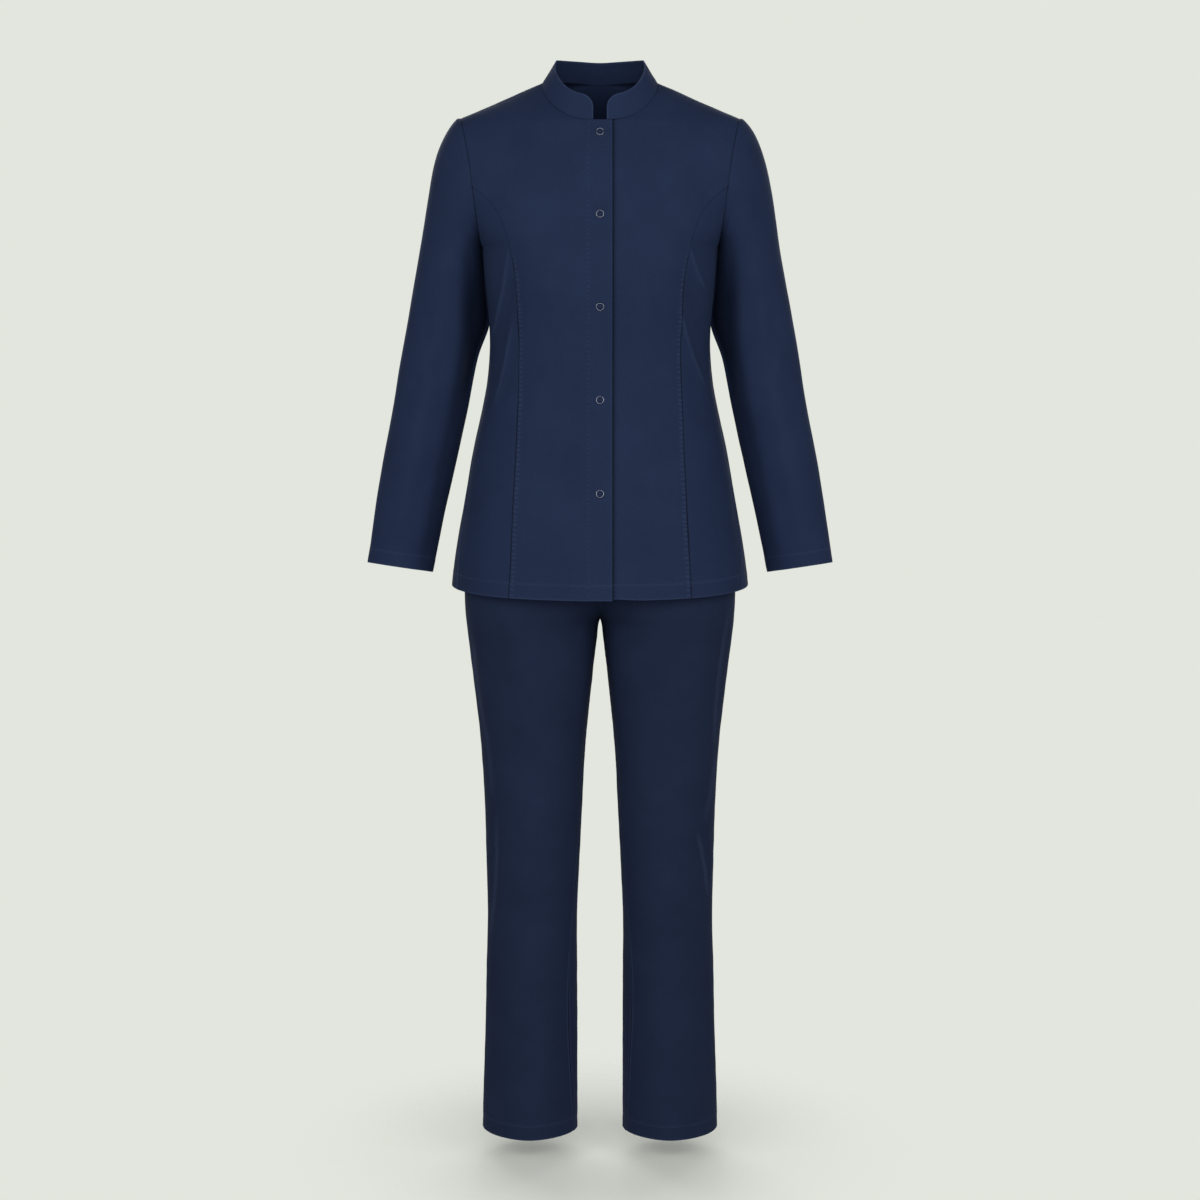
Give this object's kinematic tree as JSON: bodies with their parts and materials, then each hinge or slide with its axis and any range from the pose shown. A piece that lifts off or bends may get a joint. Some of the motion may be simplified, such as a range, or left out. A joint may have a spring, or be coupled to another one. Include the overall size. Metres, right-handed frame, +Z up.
{
  "type": "tunic and trousers set",
  "caption": "Fitted long-sleeved tunic with a stand collar and a ring snap front, over straight trousers, filled out with no wearer.",
  "frame": {"origin": "centre line of the wearer, at the height of the shoulder tips, where the shoulders carry the tunic", "axes": "+Z up, +X towards the wearer's left, +Y towards the back, so the front faces -Y"},
  "size_m": [0.6248, 0.2878, 1.4561],
  "materials": {
    "tunic_twill": "matt navy twill of polyester and cotton",
    "trouser_twill": "matt navy twill of polyester and cotton, a little darker",
    "snap_metal": "satin grey nickel"
  },
  "bodies": {
    "root": {"front_right": "tunic_twill", "front_left": "tunic_twill", "side_front_right": "tunic_twill", "side_front_left": "tunic_twill", "back": "tunic_twill", "sleeve_right": "tunic_twill", "sleeve_left": "tunic_twill", "collar": "tunic_twill", "snap_1": "snap_metal", "snap_2": "snap_metal", "snap_3": "snap_metal", "snap_4": "snap_metal", "snap_5": "snap_metal", "trouser_front_right": "trouser_twill", "trouser_front_left": "trouser_twill", "trouser_back_right": "trouser_twill", "trouser_back_left": "trouser_twill", "waistband": "trouser_twill"}
  },
  "joints": []
}
